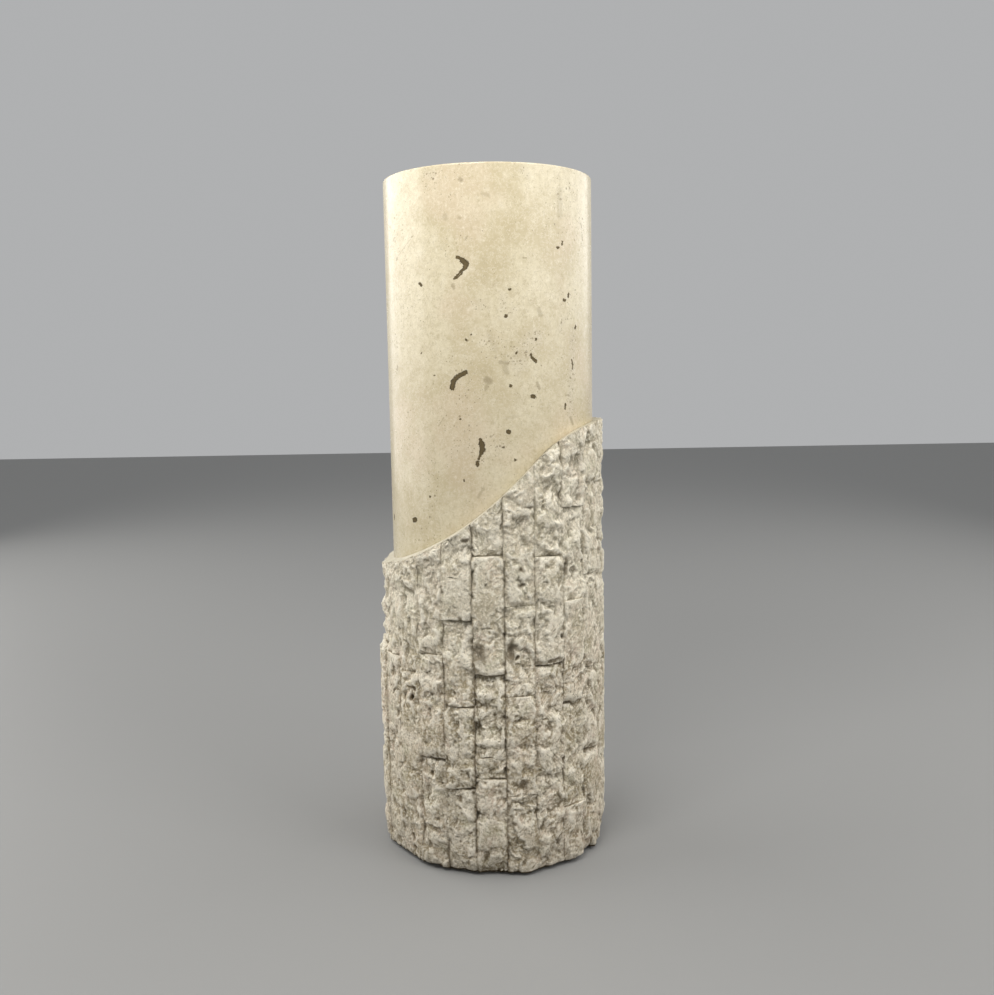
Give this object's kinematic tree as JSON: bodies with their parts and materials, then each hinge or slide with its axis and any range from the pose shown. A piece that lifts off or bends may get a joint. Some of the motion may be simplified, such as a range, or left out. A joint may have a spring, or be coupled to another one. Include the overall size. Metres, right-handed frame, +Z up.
{
  "type": "round stone pedestal column",
  "caption": "Plain round stone column with a smooth polished drum, clad round its lower part with rough split stones under a slanting wave-shaped edge. Stands by its own weight.",
  "frame": {"origin": "on the floor at the drum's axis", "axes": "+Z up along the drum's axis; -Y is the front, where the sawn top of the cladding rises from the left (-X) to the right (+X)"},
  "size_m": [0.3199, 0.3197, 0.91],
  "materials": {
    "polished_stone": "polished",
    "split_stone": "rough split"
  },
  "bodies": {
    "root": {"polished_shaft": "polished_stone", "split_stone_strip_01": "split_stone", "split_stone_strip_02": "split_stone", "split_stone_strip_03": "split_stone", "split_stone_strip_04": "split_stone", "split_stone_strip_05": "split_stone", "split_stone_strip_06": "split_stone", "split_stone_strip_07": "split_stone", "split_stone_strip_08": "split_stone", "split_stone_strip_09": "split_stone", "split_stone_strip_10": "split_stone", "split_stone_strip_11": "split_stone", "split_stone_strip_12": "split_stone", "split_stone_strip_13": "split_stone", "split_stone_strip_14": "split_stone", "split_stone_strip_15": "split_stone", "split_stone_strip_16": "split_stone", "split_stone_strip_17": "split_stone", "split_stone_strip_18": "split_stone", "split_stone_strip_19": "split_stone", "split_stone_strip_20": "split_stone", "split_stone_strip_21": "split_stone", "split_stone_strip_22": "split_stone", "split_stone_strip_23": "split_stone", "split_stone_strip_24": "split_stone"}
  },
  "joints": []
}
